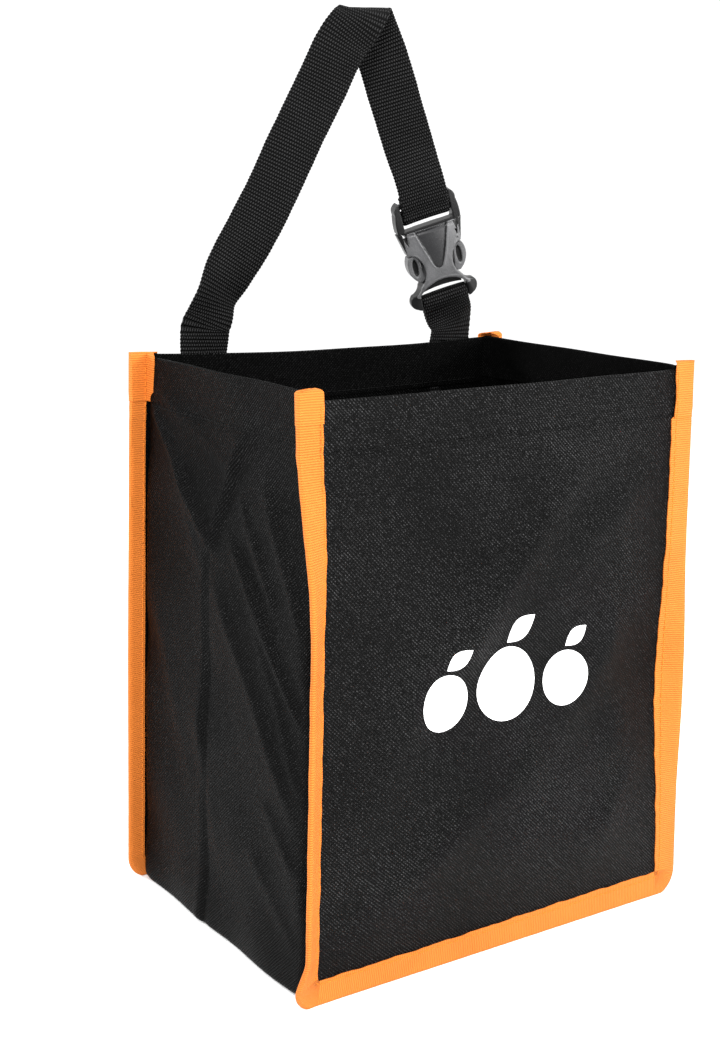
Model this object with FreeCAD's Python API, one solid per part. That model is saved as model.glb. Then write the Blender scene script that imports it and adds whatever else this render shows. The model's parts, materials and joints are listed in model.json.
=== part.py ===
import FreeCAD, Part
import math
import os

from FreeCAD import Placement, Rotation, Vector

# Fruit picking bag: an open-topped box bag of coated polyester cloth, bound
# along its seams with tape, with a webbing carrying strap that opens at a
# side-release buckle.  Millimetres, +Z up, X along the bag's width.  The
# front panel faces -Y.  The bag stands on Z = 0, centred on the Z axis.

# ---- driving dimensions -------------------------------------------------
WIDTH = 220.0            # over the binding of the front panel
HEIGHT = 264.0           # floor to the hemmed top edge
DEPTH_BOTTOM = 160.0     # over both panels at the floor
DEPTH_TOP = 144.0        # over both panels at the top edge
CLOTH = 0.8              # one layer of panel cloth
TAPE = 0.6               # one layer of binding tape
TAPE_WIDTH = 12.0        # tape seen on a panel's outer face
FIN = 10.0               # seam allowance that stands out past the gusset
CORNER = 12.0            # radius of a panel's two bottom corners
HEM = 23.0               # depth of the hem folded inside the top edge
TAPE_END = 26.0          # tape folded back on itself at the top edge
THREAD = 0.4             # thickness of a row of stitches
PRINT = 0.15             # thickness of the printed film
GAP = 0.05               # between pieces that lie on each other

WEBBING = 25.0           # strap webbing: width
WEB_THICK = 1.5          # and thickness
LONG_STRAP_X = -70.0     # where the two strap ends are sewn on
SHORT_STRAP_X = 79.0
TAB_LENGTH = 36.0        # sewn strap ends, down from the top edge
ROOT_RISE = 6.0          # strap's lowest point above the top edge

BUCKLE_MOUTH = Vector(58.0, 68.0, HEIGHT + 58.0)    # middle of the socket's mouth
BUCKLE_LEAN = (-0.396, -0.09)   # sideways and forward travel per unit of rise
BUCKLE_TURN = -18.0             # turn of the buckle's face about Z, degrees

# ---- derived sizes ------------------------------------------------------
SLOPE = math.atan((DEPTH_BOTTOM - DEPTH_TOP) / 2.0 / HEIGHT)
SEAM_STACK = 2.0 * CLOTH + 2.0 * TAPE
PANEL_HEIGHT = HEIGHT / math.cos(SLOPE)
UP = Vector(0, 0, 1)


# ---- helpers ------------------------------------------------------------
def block(x0, x1, y0, y1, z0, z1):
    return Part.makeBox(x1 - x0, y1 - y0, z1 - z0, Vector(x0, y0, z0))


def outline_face(points, y=0.0):
    """Face in the plane Y = y.  A corner (x, z) is joined by a line, and a
    corner (x, z, mx, mz) by an arc through (mx, mz) from the one before."""
    edges = []
    start = points[0]
    for point in points[1:] + [start]:
        a = Vector(start[0], y, start[1])
        b = Vector(point[0], y, point[1])
        if len(point) == 4:
            middle = Vector(point[2], y, point[3])
            edges.append(Part.Arc(a, middle, b).toShape())
        elif not a.isEqual(b, 1e-9):
            edges.append(Part.LineSegment(a, b).toShape())
        start = point
    return Part.Face(Part.Wire(edges))


def plate(points, y0, y1):
    return outline_face(points, y0).extrude(Vector(0, y1 - y0, 0))


def panel_region(inset, y0, y1, top=PANEL_HEIGHT):
    """Plate with a panel's outline, pulled in by inset on three sides."""
    half = WIDTH / 2.0 - inset
    r = max(CORNER - inset, 2.0)
    mid = r * (1.0 - math.sqrt(0.5))
    return plate(
        [
            (-half, top),
            (half, top),
            (half, inset + r),
            (half - r, inset, half - mid, inset + mid),
            (-half + r, inset),
            (-half, inset + r, -half + mid, inset + mid),
        ],
        y0,
        y1,
    )


def seam_ring(outer, inner, y0, y1):
    """U-shaped band between two insets of a panel's outline."""
    return panel_region(outer, y0, y1).cut(panel_region(inner, y0 - 1, y1 + 1, PANEL_HEIGHT + 1))


def on_front(shape):
    """From a panel's flat frame (outer cloth face at Y = 0, inside at +Y)
    to the front panel's place, leaning inwards to the top."""
    shape = shape.copy()
    shape.rotate(Vector(0, 0, 0), Vector(1, 0, 0), -math.degrees(SLOPE))
    shape.translate(Vector(0, -DEPTH_BOTTOM / 2.0 + TAPE, 0))
    return shape.common(block(-WIDTH, WIDTH, -WIDTH, WIDTH, 0, HEIGHT))


def on_back(shape):
    return on_front(shape).mirror(Vector(0, 0, 0), Vector(0, 1, 0))


def ribbon(stations, width=WEBBING, thick=WEB_THICK):
    """Flat webbing through stations (middle point, direction across)."""
    points = [Vector(*s[0]) for s in stations]
    wires = []
    for i, (_, across) in enumerate(stations):
        along = points[min(i + 1, len(points) - 1)] - points[max(i - 1, 0)]
        along.normalize()
        side = Vector(across)
        side = side - along * side.dot(along)
        side.normalize()
        face = along.cross(side)
        u, v = side * (width / 2.0), face * (thick / 2.0)
        corners = [points[i] + u + v, points[i] - u + v, points[i] - u - v, points[i] + u - v]
        wires.append(Part.makePolygon(corners + [corners[0]]))
    return Part.makeLoft(wires, True, True)


def heading(degrees):
    """Level direction turned from +X about Z."""
    turn = math.radians(degrees)
    return Vector(math.cos(turn), math.sin(turn), 0)


# ---- bag ----------------------------------------------------------------
def flat_panel():
    """Panel cloth with its top hem folded to the inside."""
    cloth = panel_region(TAPE, 0, CLOTH)
    half = WIDTH / 2.0 - FIN - 2.0 * CLOTH - GAP
    hem = block(-half, half, CLOTH, 2.0 * CLOTH, PANEL_HEIGHT - HEM, PANEL_HEIGHT)
    return cloth.fuse(hem).removeSplitter()


def flat_binding():
    """Tape folded over the seam: a channel with its top ends turned back."""
    front = seam_ring(0, TAPE_WIDTH, -TAPE, 0)
    edge = seam_ring(0, TAPE, -TAPE, SEAM_STACK - TAPE)
    rear = seam_ring(0, FIN - GAP, 2.0 * CLOTH, SEAM_STACK - TAPE)
    tape = front.fuse([edge, rear])
    for side in (-1, 1):
        x0, x1 = sorted((side * WIDTH / 2.0, side * (WIDTH / 2.0 - TAPE_WIDTH - 1.5)))
        folded = block(x0, x1, -2.0 * TAPE, -TAPE, PANEL_HEIGHT - TAPE_END, PANEL_HEIGHT)
        tape = tape.fuse(folded)
    return tape.removeSplitter()


def flat_binding_stitching():
    row = TAPE_WIDTH - 2.0
    stitches = seam_ring(row, row + THREAD, -TAPE - GAP - THREAD, -TAPE - GAP)
    return stitches.cut(block(-WIDTH, WIDTH, -2, 2, PANEL_HEIGHT - TAPE_END - 1, PANEL_HEIGHT + 1))


def flat_hem_stitching():
    half = WIDTH / 2.0 - TAPE_WIDTH - 2.0
    z = PANEL_HEIGHT - HEM + 2.0
    return block(-half, half, -GAP - THREAD, -GAP, z, z + THREAD)


def gusset_strip():
    """One strip of cloth: left side, bottom and right side, with a seam
    flange turned out along each panel and a hem inside each top edge."""
    reach = DEPTH_BOTTOM
    walls = seam_ring(FIN, FIN + CLOTH, -reach, reach)
    for side in (-1, 1):
        inner = side * (WIDTH / 2.0 - FIN - CLOTH)
        x0, x1 = sorted((inner, inner - side * CLOTH))
        walls = walls.fuse(block(x0, x1, -reach, reach, HEIGHT - HEM, PANEL_HEIGHT))
    between = on_front(block(-WIDTH, WIDTH, CLOTH, reach, -HEIGHT, 2.0 * HEIGHT))
    between = between.common(between.mirror(Vector(0, 0, 0), Vector(0, 1, 0)))
    flange = seam_ring(TAPE, FIN + CLOTH, CLOTH, 2.0 * CLOTH)
    return walls.common(between).fuse([on_front(flange), on_back(flange)]).removeSplitter()


def side_hem_stitching(side):
    z = HEIGHT - HEM + 2.0
    x0, x1 = sorted((side * (WIDTH / 2.0 - FIN + GAP), side * (WIDTH / 2.0 - FIN + GAP + THREAD)))
    half = DEPTH_TOP / 2.0 - 4.0
    return block(x0, x1, -half, half, z, z + THREAD)


def strap_tab(x, layers):
    """Webbing end sewn flat on the outside of the back panel."""
    half = WEBBING / 2.0
    thick = layers * WEB_THICK
    return block(x - half, x + half, -GAP - thick, -GAP, HEIGHT - TAB_LENGTH, HEIGHT)


def tab_stitching(x, layers):
    """Box of stitches with a cross inside it."""
    face = -2.0 * GAP - layers * WEB_THICK
    half = WEBBING / 2.0 - 3.0
    z0 = HEIGHT - TAB_LENGTH + 3.0
    z1 = z0 + 2.0 * half
    box = block(x - half, x + half, face - THREAD, face, z0, z1)
    inner = half - THREAD
    box = box.cut(block(x - inner, x + inner, face - 1, face + 1, z0 + THREAD, z1 - THREAD))
    length = math.hypot(2.0 * half, 2.0 * half) - THREAD
    for angle in (45, -45):
        row = block(-length / 2.0, length / 2.0, face - THREAD, face, -THREAD / 2.0, THREAD / 2.0)
        row.rotate(Vector(0, 0, 0), Vector(0, 1, 0), angle)
        row.translate(Vector(x, 0, (z0 + z1) / 2.0))
        box = box.fuse(row)
    return box.removeSplitter()


def printed_mark():
    """Film of print on the front cloth: three round fruits, each under a leaf."""
    y0, y1 = -GAP - PRINT, -GAP
    fruits = []
    for x, z, radius in ((-38, 124, 13), (-3, 127, 17), (32, 124, 13)):
        rim = Part.Circle(Vector(x, y0, z), Vector(0, 1, 0), radius).toShape()
        fruits.append(Part.Face(Part.Wire(rim)).extrude(Vector(0, y1 - y0, 0)))
        stem = z + radius + 2.0
        tip = radius * 0.9
        rise = stem + tip * 0.6
        leaf = [(x, stem), (x + tip, rise, x + tip * 0.7, stem), (x, stem, x + tip * 0.3, rise)]
        fruits.append(plate(leaf, y0, y1))
    return Part.makeCompound(fruits)


# ---- buckle, in its own frame -------------------------------------------
# X across, Y through the thickness (face at -Y), Z along the strap; the
# socket's mouth is at Z = 0 and the plug goes down into it.
SOCKET_HALF = 17.7       # half width at the mouth
SOCKET_THICK = 11.0
CAVITY = 3.4             # half thickness of the hollow
SHOULDER_Z = -12.2       # lower edge of the side walls that the arms catch
WAIST = 9.0
BAR_Z = -39.2            # bar that the short strap loops round
BAR_R = 1.5
PLUG_BAR_Z = 6.8         # bar that the long strap turns back round
PLUG_TOP_BAR_Z = 13.6
ARM_X = 10.5             # root of a latch arm
ARM_Z = -1.5


def mirrored(points):
    """Outline with its other half: the points run down the +X side."""
    other = []
    for i in range(len(points) - 1, -1, -1):
        x, z = points[i][0], points[i][1]
        follower = points[i + 1] if i + 1 < len(points) else ()
        if len(follower) == 4:
            other.append((-x, z, -follower[2], follower[3]))
        else:
            other.append((-x, z))
    return points + other


def socket_outline():
    return mirrored(
        [
            (SOCKET_HALF, 0.0),
            (14.7, SHOULDER_Z),
            (WAIST + 2.6, SHOULDER_Z - 0.6),
            (WAIST + 2.6, -30.2, WAIST - 1.4, -21.8),
            (16.6, -34.3, 13.2, -33.0),
            (15.6, -41.9, 18.6, -38.4),
            (11.0, -43.0, 13.4, -43.1),
        ]
    )


def socket_side():
    """Profile through the thickness, extruded across."""
    face = Part.Face(
        Part.makePolygon(
            [
                Vector(-30, -SOCKET_THICK / 2.0 + 0.4, 1),
                Vector(-30, -SOCKET_THICK / 2.0, -6),
                Vector(-30, -SOCKET_THICK / 2.0 + 0.7, -27),
                Vector(-30, -3.2, -36),
                Vector(-30, -2.4, -45),
                Vector(-30, 2.4, -45),
                Vector(-30, 3.2, -36),
                Vector(-30, SOCKET_THICK / 2.0 - 0.7, -27),
                Vector(-30, SOCKET_THICK / 2.0, -6),
                Vector(-30, SOCKET_THICK / 2.0 - 0.4, 1),
                Vector(-30, -SOCKET_THICK / 2.0 + 0.4, 1),
            ]
        )
    )
    return face.extrude(Vector(60, 0, 0))


def buckle_socket():
    body = plate(socket_outline(), -SOCKET_THICK, SOCKET_THICK).common(socket_side())
    crown = Part.makeCylinder(46.0, 60, Vector(0, 46.0 - SOCKET_THICK / 2.0, -50), UP)
    crown = crown.common(crown.mirror(Vector(0, 0, 0), Vector(0, 1, 0)))
    body = body.common(crown)
    hollow = plate(
        mirrored([(15.4, 1.0), (12.7, SHOULDER_Z), (19.0, SHOULDER_Z - 0.6), (19.0, -28.6)]), -CAVITY, CAVITY
    )
    slot = plate(
        [
            (-12.9, BAR_Z + BAR_R),
            (12.9, BAR_Z + BAR_R),
            (12.9, BAR_Z + 4.3),
            (-12.9, BAR_Z + 4.3, 0.0, BAR_Z + 10.2),
        ],
        -SOCKET_THICK,
        SOCKET_THICK,
    )
    below_bar = block(-12.9, 12.9, -SOCKET_THICK, SOCKET_THICK, -50, BAR_Z - BAR_R)
    round_bar = block(-12.9, 12.9, -SOCKET_THICK, SOCKET_THICK, BAR_Z - BAR_R - 1, BAR_Z + BAR_R + 0.4)
    scoop = plate([(-9.4, 1.0), (9.4, 1.0), (2.6, -20.0), (-2.6, -20.0, 0.0, -22.7)], -SOCKET_THICK, -4.0)
    scoop = scoop.cut(Part.makeCylinder(45.0, 60, Vector(0, 45.0 - SOCKET_THICK / 2.0 + 0.6, -50), UP))
    body = body.cut(Part.makeCompound([hollow])).cut(slot).cut(below_bar).cut(round_bar).cut(scoop)
    bar = Part.makeCylinder(BAR_R, 27.0, Vector(-13.5, 0, BAR_Z), Vector(1, 0, 0))
    return body.fuse(bar).removeSplitter()


def buckle_plug():
    rails = plate(
        mirrored([(11.0, 15.6), (16.4, 10.4, 15.4, 14.4), (17.2, 0.4, 17.2, 5.4)]), -3.4, 3.4
    )
    rails = rails.cut(block(-13.2, 13.2, -4, 4, 0.4, 16.0))
    base = block(-13.4, 13.4, -3.0, 3.0, -2.6, 0.4)
    collar = block(-15.0, 15.0, -3.1, 3.1, -0.6, 0.6)
    prong = plate([(-3.4, -2.0), (3.4, -2.0), (2.0, -20.0), (-2.0, -20.0, 0.0, -21.0)], -2.6, 2.6)
    solids = [base, collar, prong]
    for z in (PLUG_BAR_Z, PLUG_TOP_BAR_Z):
        solids.append(Part.makeCylinder(BAR_R, 28.0, Vector(-14.0, 0, z), Vector(1, 0, 0)))
    pockets = [block(s * ARM_X - 1.6, s * ARM_X + 1.6, -4, 4, -3.0, ARM_Z + 0.9) for s in (-1, 1)]
    return rails.fuse(solids).cut(Part.makeCompound(pockets)).removeSplitter()


def latch_arm(side):
    """Springy arm with a head that catches under the socket's side wall."""
    arm = plate(
        [
            (9.3, ARM_Z + 0.6),
            (11.7, ARM_Z + 0.6),
            (11.7, SHOULDER_Z - 0.9),
            (14.7, SHOULDER_Z - 1.0),
            (11.4, -27.6, 15.9, -20.4),
            (8.4, -25.2, 9.4, -27.4),
            (9.3, SHOULDER_Z - 3.0, 9.3, -19.5),
        ],
        -2.9,
        2.9,
    )
    return arm if side > 0 else arm.mirror(Vector(0, 0, 0), Vector(1, 0, 0))


# ---- buckle's place -----------------------------------------------------
def buckle_frame():
    along = Vector(BUCKLE_LEAN[0], BUCKLE_LEAN[1], 1.0)
    along.normalize()
    across = heading(BUCKLE_TURN)
    across = across - along * across.dot(along)
    across.normalize()
    turn = Rotation(across, along.cross(across), along, "ZXY")
    return Placement(BUCKLE_MOUTH, turn)


BUCKLE = buckle_frame()


def placed(shape):
    shape = shape.copy()
    shape.Placement = BUCKLE.multiply(shape.Placement)
    return shape


def in_buckle(y, z):
    """World point on the buckle's middle line."""
    return BUCKLE.multVec(Vector(0, y, z))


ACROSS = BUCKLE.Rotation.multVec(Vector(1, 0, 0))


# ---- straps -------------------------------------------------------------
def standing(route):
    """Strap stations from (x, y, height above the top edge, heading)."""
    return [((x, y, HEIGHT + rise), heading(turn)) for x, y, rise, turn in route]


def long_strap():
    """From the sewn left end up to a flat fold, down to the plug, round its
    lower bar and out again in front of its top bar."""
    left_leg = [
        (LONG_STRAP_X, 73, ROOT_RISE, -8),
        (LONG_STRAP_X, 72.8, 9, -10),
        (-68, 72, 14, -4),
        (-65, 71, 23, 8),
        (-59, 70, 36, -6),
        (-48.5, 68, 54, -26),
        (-38.5, 66.5, 72, -33),
        (-26, 64, 98, -35),
        (-13, 61, 124, -35),
        (-3.5, 58, 144, -35),
    ]
    fold = [
        (5, 55.5, 156, -35),
        (7.6, 56.6, 158.8, -35),
        (9.5, 58.5, 159.9, -35),
        (11.6, 60.8, 158.8, -35),
        (14.5, 62.3, 155, -35),
    ]
    right_leg = [
        (23, 63, 140, -35),
        (33, 63.5, 117, -32),
        (42.5, 64.5, 96, -26),
    ]
    plug_turn = [
        (-4.6, 21.5),
        (-4.5, 14.0),
        (-3.1, 9.2),
        (-2.8, 6.4),
        (-1.6, 4.7),
        (0.0, 4.2),
        (1.6, 4.7),
        (2.8, 6.6),
        (2.4, 8.9),
        (0.2, 10.3),
        (-2.2, 11.6),
        (-2.6, 13.8),
        (-2.5, 18.8),
    ]
    wrapped = [(tuple(in_buckle(y, z)), ACROSS) for y, z in plug_turn]
    return ribbon(standing(left_leg + fold + right_leg) + wrapped)


def short_strap():
    """Doubled webbing from the sewn right end, looped round the socket's bar."""
    half_loop = [(1.6, -5.0), (2.5, -1.2), (2.3, 1.2), (1.3, 2.5)]
    loop = [(-y, z) for y, z in half_loop] + [(0.0, 2.8)] + half_loop[::-1]
    layer = Vector(0, (WEB_THICK + GAP) / 2.0, 0)
    root = Vector(SHORT_STRAP_X, 73.5, HEIGHT + ROOT_RISE)
    neck = root + Vector(-0.4, -0.3, 3.0)
    stations = [(tuple(root - layer), heading(0)), (tuple(neck - layer), heading(0))]
    stations += [(tuple(in_buckle(y, BAR_Z + z)), ACROSS) for y, z in loop]
    stations += [(tuple(neck + layer), heading(0)), (tuple(root + layer), heading(0))]
    return ribbon(stations)


def loop_stitching():
    """Bar of stitches that closes the short strap's loop below the bar."""
    face = -1.9 - WEB_THICK / 2.0 - GAP
    z = BAR_Z - 5.0
    return placed(block(-9, 9, face - THREAD, face, z, z + THREAD))


def tail_stitching():
    """Row of stitches across the free end of the long strap."""
    return placed(block(-9, 9, -1.7, -1.7 + THREAD, 16.0, 16.0 + THREAD))


def cut_clear(shape, others):
    return shape.cut(Part.makeCompound(others))


# ---- build --------------------------------------------------------------
def build():
    tabs = [strap_tab(LONG_STRAP_X, 1), strap_tab(SHORT_STRAP_X, 2)]
    back_hem_row = cut_clear(flat_hem_stitching(), tabs)
    nodes = {
        "front_panel": on_front(flat_panel()),
        "back_panel": on_back(flat_panel()),
        "gusset_strip": gusset_strip(),
        "front_binding": on_front(flat_binding()),
        "back_binding": on_back(flat_binding()),
        "front_binding_stitching": on_front(flat_binding_stitching()),
        "back_binding_stitching": on_back(flat_binding_stitching()),
        "front_hem_stitching": on_front(flat_hem_stitching()),
        "back_hem_stitching": on_back(back_hem_row),
        "left_hem_stitching": side_hem_stitching(-1),
        "right_hem_stitching": side_hem_stitching(1),
        "printed_mark": on_front(printed_mark()),
        "long_strap_tab": on_back(tabs[0]),
        "short_strap_tab": on_back(tabs[1]),
        "long_strap_stitching": on_back(tab_stitching(LONG_STRAP_X, 1)),
        "short_strap_stitching": on_back(tab_stitching(SHORT_STRAP_X, 2)),
        "long_strap": long_strap(),
        "short_strap": short_strap(),
        "loop_stitching": loop_stitching(),
        "tail_stitching": tail_stitching(),
        "buckle_socket": placed(buckle_socket()),
        "buckle_plug": placed(buckle_plug()),
        "left_latch_arm": placed(latch_arm(-1)),
        "right_latch_arm": placed(latch_arm(1)),
    }
    os.makedirs("parts", exist_ok=True)
    for name, shape in nodes.items():
        shape.exportStep(os.path.join("parts", name + ".step"))
        box = shape.BoundBox
        print(
            f"{name:24s} solids {len(shape.Solids):2d} valid {shape.isValid()} "
            f"volume {shape.Volume:9.1f}  x {box.XMin:.1f}..{box.XMax:.1f} "
            f"y {box.YMin:.1f}..{box.YMax:.1f} z {box.ZMin:.1f}..{box.ZMax:.1f}"
        )


build()
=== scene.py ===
import json
import math

import bpy
import numpy as np
from mathutils import Matrix, Vector


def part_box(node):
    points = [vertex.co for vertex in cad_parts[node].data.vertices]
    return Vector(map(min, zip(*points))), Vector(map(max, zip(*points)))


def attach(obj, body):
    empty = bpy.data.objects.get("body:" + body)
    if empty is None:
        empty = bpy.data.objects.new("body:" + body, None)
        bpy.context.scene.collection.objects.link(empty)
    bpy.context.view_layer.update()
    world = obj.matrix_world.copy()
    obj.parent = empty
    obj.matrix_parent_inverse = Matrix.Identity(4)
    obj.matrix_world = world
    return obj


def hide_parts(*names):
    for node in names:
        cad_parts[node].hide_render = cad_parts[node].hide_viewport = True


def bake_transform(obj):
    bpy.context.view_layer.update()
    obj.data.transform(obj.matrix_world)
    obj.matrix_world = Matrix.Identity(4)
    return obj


# Looks of a fruit picking bag: an open box bag of black polyester cloth with
# orange binding tape, a webbing strap and a side-release buckle.  Lengths in
# the helpers are millimetres; they become metres when a mesh is made.

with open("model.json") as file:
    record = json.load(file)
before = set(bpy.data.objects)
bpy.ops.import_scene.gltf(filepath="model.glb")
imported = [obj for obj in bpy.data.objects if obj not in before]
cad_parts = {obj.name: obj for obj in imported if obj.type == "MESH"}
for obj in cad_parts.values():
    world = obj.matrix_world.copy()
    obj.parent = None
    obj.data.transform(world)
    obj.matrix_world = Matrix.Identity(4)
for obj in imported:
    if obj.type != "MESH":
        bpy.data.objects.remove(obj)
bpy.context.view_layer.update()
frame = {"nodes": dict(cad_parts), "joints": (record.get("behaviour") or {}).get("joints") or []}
MM = 0.001


def node_box(node):
    low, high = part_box(node)
    return np.array(low) / MM, np.array(high) / MM


# ---- sizes --------------------------------------------------------------
PANEL_LOW, PANEL_HIGH = node_box("front_panel")
MARK_LOW, MARK_HIGH = node_box("printed_mark")
HALF_WIDTH, _, HEIGHT = node_box("front_binding")[1]   # over the binding and its turned ends
CLOTH = 0.7                      # one layer of cloth
LAYER = 0.85                     # from one layer's middle to the next
TAPE = 0.45                      # one layer of tape
TAPE_WIDTH = 12.0                # tape on a panel's outer face
FIN = 10.0                       # seam allowance outside the seam line
HEM = 23.0                       # depth of the folded top hem
HEM_ROW = HEM - 2.0              # hem stitches below the top edge
TAPE_END = 26.0                  # length of the tape's turned ends
END_RISE = 4.0                   # turned ends stand above the cloth
LEFT_CORNER, RIGHT_CORNER = 11.0, 12.0   # radii of the bottom corners
CAD_CLOTH = 0.8                  # one layer in the CAD's panels
TOP_Y = PANEL_HIGH[1] - 2.0 * CAD_CLOTH   # outer cloth face at the top edge
SLOPE = math.atan((TOP_Y - PANEL_LOW[1]) / HEIGHT)
CLOTH_TOP = HEIGHT - END_RISE
SIDE_ROW = CLOTH_TOP + 1.8 - HEM_ROW      # hem stitches on the gusset
HALF_CLOTH = 109.2               # half the width of a panel's cloth
SEAM = HALF_WIDTH - FIN - 2.0    # the fins start to turn here
BEND = 2.5                       # length over which a fin turns
LOWEST = 0.35                    # no point of a panel's surface lies below this
TAPE_TOP = HEIGHT - 0.6
TAPE_RUNS = (240, 16, 210)       # points on a side, a corner and the bottom
HEM_STITCH = (3.1, 2.4, 0.24)    # pitch, length and radius

WEBBING = 25.0
WEB_THICK = 1.5
WEB_PITCH = 1.7                  # between the webbing's ribs
WEB_STEP = 0.42                  # between the rows of its mesh
LONG_STRAP_X = -70.0
SHORT_STRAP_X = 79.0
TAB_LENGTH = 36.0
ROOT_RISE = 6.0                  # where the straps stand free above the bag
CREASE_RISE = 23.0               # the long strap's soft crease above the bag
SOCKET_BAR = -39.2               # along the buckle from the socket's mouth
HINGE_DEPTH = 1.5                # the latch arms' hinges inside the mouth
JOINTS = {joint["name"]: joint for joint in frame["joints"]}


# ---- small maths --------------------------------------------------------
def smooth(t):
    t = np.clip(t, 0.0, 1.0)
    return t * t * (3.0 - 2.0 * t)


def bump(x, centre, width):
    return np.exp(-(((x - centre) / width) ** 2))


def unit(v):
    return v / np.maximum(np.linalg.norm(v, axis=-1, keepdims=True), 1e-9)


def sine(x, pitch, phase=0.0):
    return np.sin(2.0 * math.pi * x / pitch + phase)


def waver(s, seed):
    """Slow irregular wave from -1 to 1 along s."""
    waves = ((31.0, 0.5), (17.3, 0.3), (8.9, 0.2))
    return sum(share * sine(s, pitch, seed * (1.7 + pitch)) for pitch, share in waves)


def spread(start, end, step):
    return np.linspace(start, end, max(2, int(round(abs(end - start) / step)) + 1))


def run_along(line):
    """Length from the start of a line to each of its points."""
    return np.concatenate([[0.0], np.cumsum(np.linalg.norm(np.diff(line, axis=0), axis=1))])


def points_at(lengths, run, line):
    """Points of a line at the given lengths along it."""
    return np.stack([np.interp(lengths, run, values) for values in line.T], axis=1)


def through(points, step):
    """Points at even steps along a smooth curve through the given ones, and
    the length to each."""
    points = np.array(points, float)
    ends = np.vstack([2 * points[0] - points[1], points, 2 * points[-1] - points[-2]])
    chord = np.linalg.norm(np.diff(ends[:, :3], axis=0), axis=1)
    knots = np.concatenate([[0.0], np.cumsum(np.maximum(chord, 1e-6))])
    u = np.linspace(0.0, 1.0, 24, endpoint=False)[:, None]
    h00, h10 = 2 * u**3 - 3 * u**2 + 1, u**3 - 2 * u**2 + u
    h01, h11 = -2 * u**3 + 3 * u**2, u**3 - u**2
    curve = []
    for i in range(1, len(ends) - 2):
        t0, t1, t2, t3 = knots[i - 1 : i + 3]
        p0, p1, p2, p3 = ends[i - 1 : i + 3]
        span = t2 - t1
        m1 = (p2 - p1) / span - (p2 - p0) / (t2 - t0) + (p1 - p0) / (t1 - t0)
        m2 = (p3 - p2) / (t3 - t2) - (p3 - p1) / (t3 - t1) + (p2 - p1) / span
        curve.append(h00 * p1 + h10 * span * m1 + h01 * p2 + h11 * span * m2)
    curve = np.vstack(curve + [points[-1:]])
    run = run_along(curve[:, :3])
    even = spread(0.0, run[-1], step)
    return points_at(even, run, curve), even


# ---- meshes -------------------------------------------------------------
SHARP = math.radians(50.0)       # edges that turn more than this stay sharp


def quads(rows, cols, offset=0):
    i, j = np.meshgrid(np.arange(rows - 1), np.arange(cols - 1), indexing="ij")
    a = (i * cols + j).ravel() + offset
    return np.stack([a, a + cols, a + cols + 1, a + 1], axis=1)


def placed(name, data):
    """New object in the scene."""
    thing = bpy.data.objects.new(name, data)
    bpy.context.scene.collection.objects.link(thing)
    return thing


def read(items, key):
    """A place or direction of each of a mesh's points or faces."""
    values = np.empty(len(items) * 3, np.float32)
    items.foreach_get(key, values)
    return values.reshape(-1, 3)


def mesh_piece(name, points, faces, uv, material):
    """Mesh from points and four-cornered faces, with a map in millimetres."""
    mesh = bpy.data.meshes.new(name)
    points = np.asarray(points, np.float32)
    faces = np.asarray(faces, np.int32)
    mesh.vertices.add(len(points))
    mesh.vertices.foreach_set("co", (points * MM).astype(np.float32).ravel())
    mesh.loops.add(faces.size)
    mesh.loops.foreach_set("vertex_index", faces.ravel())
    mesh.polygons.add(len(faces))
    mesh.polygons.foreach_set("loop_start", np.arange(0, faces.size, 4, dtype=np.int32))
    mesh.update(calc_edges=True)
    layer = mesh.uv_layers.new(name="weave")
    layer.data.foreach_set("uv", np.asarray(uv, np.float32)[faces.ravel()].ravel())
    mesh.validate()
    mesh.polygons.foreach_set("use_smooth", np.ones(len(mesh.polygons), bool))
    mesh.set_sharp_from_angle(angle=SHARP)
    mesh.materials.append(material)
    return placed(name, mesh)


def normals(grid):
    return unit(np.cross(np.gradient(grid, axis=0), np.gradient(grid, axis=1)))


def grid_map(columns, rows):
    """Map of a grid whose columns and rows lie at the given places."""
    return np.stack(np.broadcast_arrays(columns[None, :], rows[:, None]), axis=-1)


def shell(grid, thick, uv):
    """Closed skin round a grid of middle points: (points, faces, map)."""
    rows, cols = grid.shape[:2]
    half = np.broadcast_to(np.asarray(thick, float) / 2.0, (rows, cols))[..., None]
    face = normals(grid)
    points = np.vstack([(grid + face * half).reshape(-1, 3), (grid - face * half).reshape(-1, 3)])
    top = quads(rows, cols)
    count = rows * cols
    first, last = np.arange(cols - 1), (rows - 1) * cols + np.arange(cols - 1, 0, -1)
    right, left = np.arange(rows - 1) * cols + cols - 1, np.arange(rows - 1, 0, -1) * cols
    rim = np.concatenate([first, right, last, left])
    after = np.roll(rim, -1)
    edge = np.stack([rim, after, after + count, rim + count], axis=1)
    faces = np.vstack([top, top[:, ::-1] + count, edge])
    return points, faces, np.vstack([uv.reshape(-1, 2)] * 2)


def joined(parts):
    """Several (points, faces, map) as one."""
    points, faces, maps, offset = [], [], [], 0
    for p, f, m in parts:
        points.append(p)
        faces.append(f + offset)
        maps.append(m)
        offset += len(p)
    return np.vstack(points), np.vstack(faces), np.vstack(maps)


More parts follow.
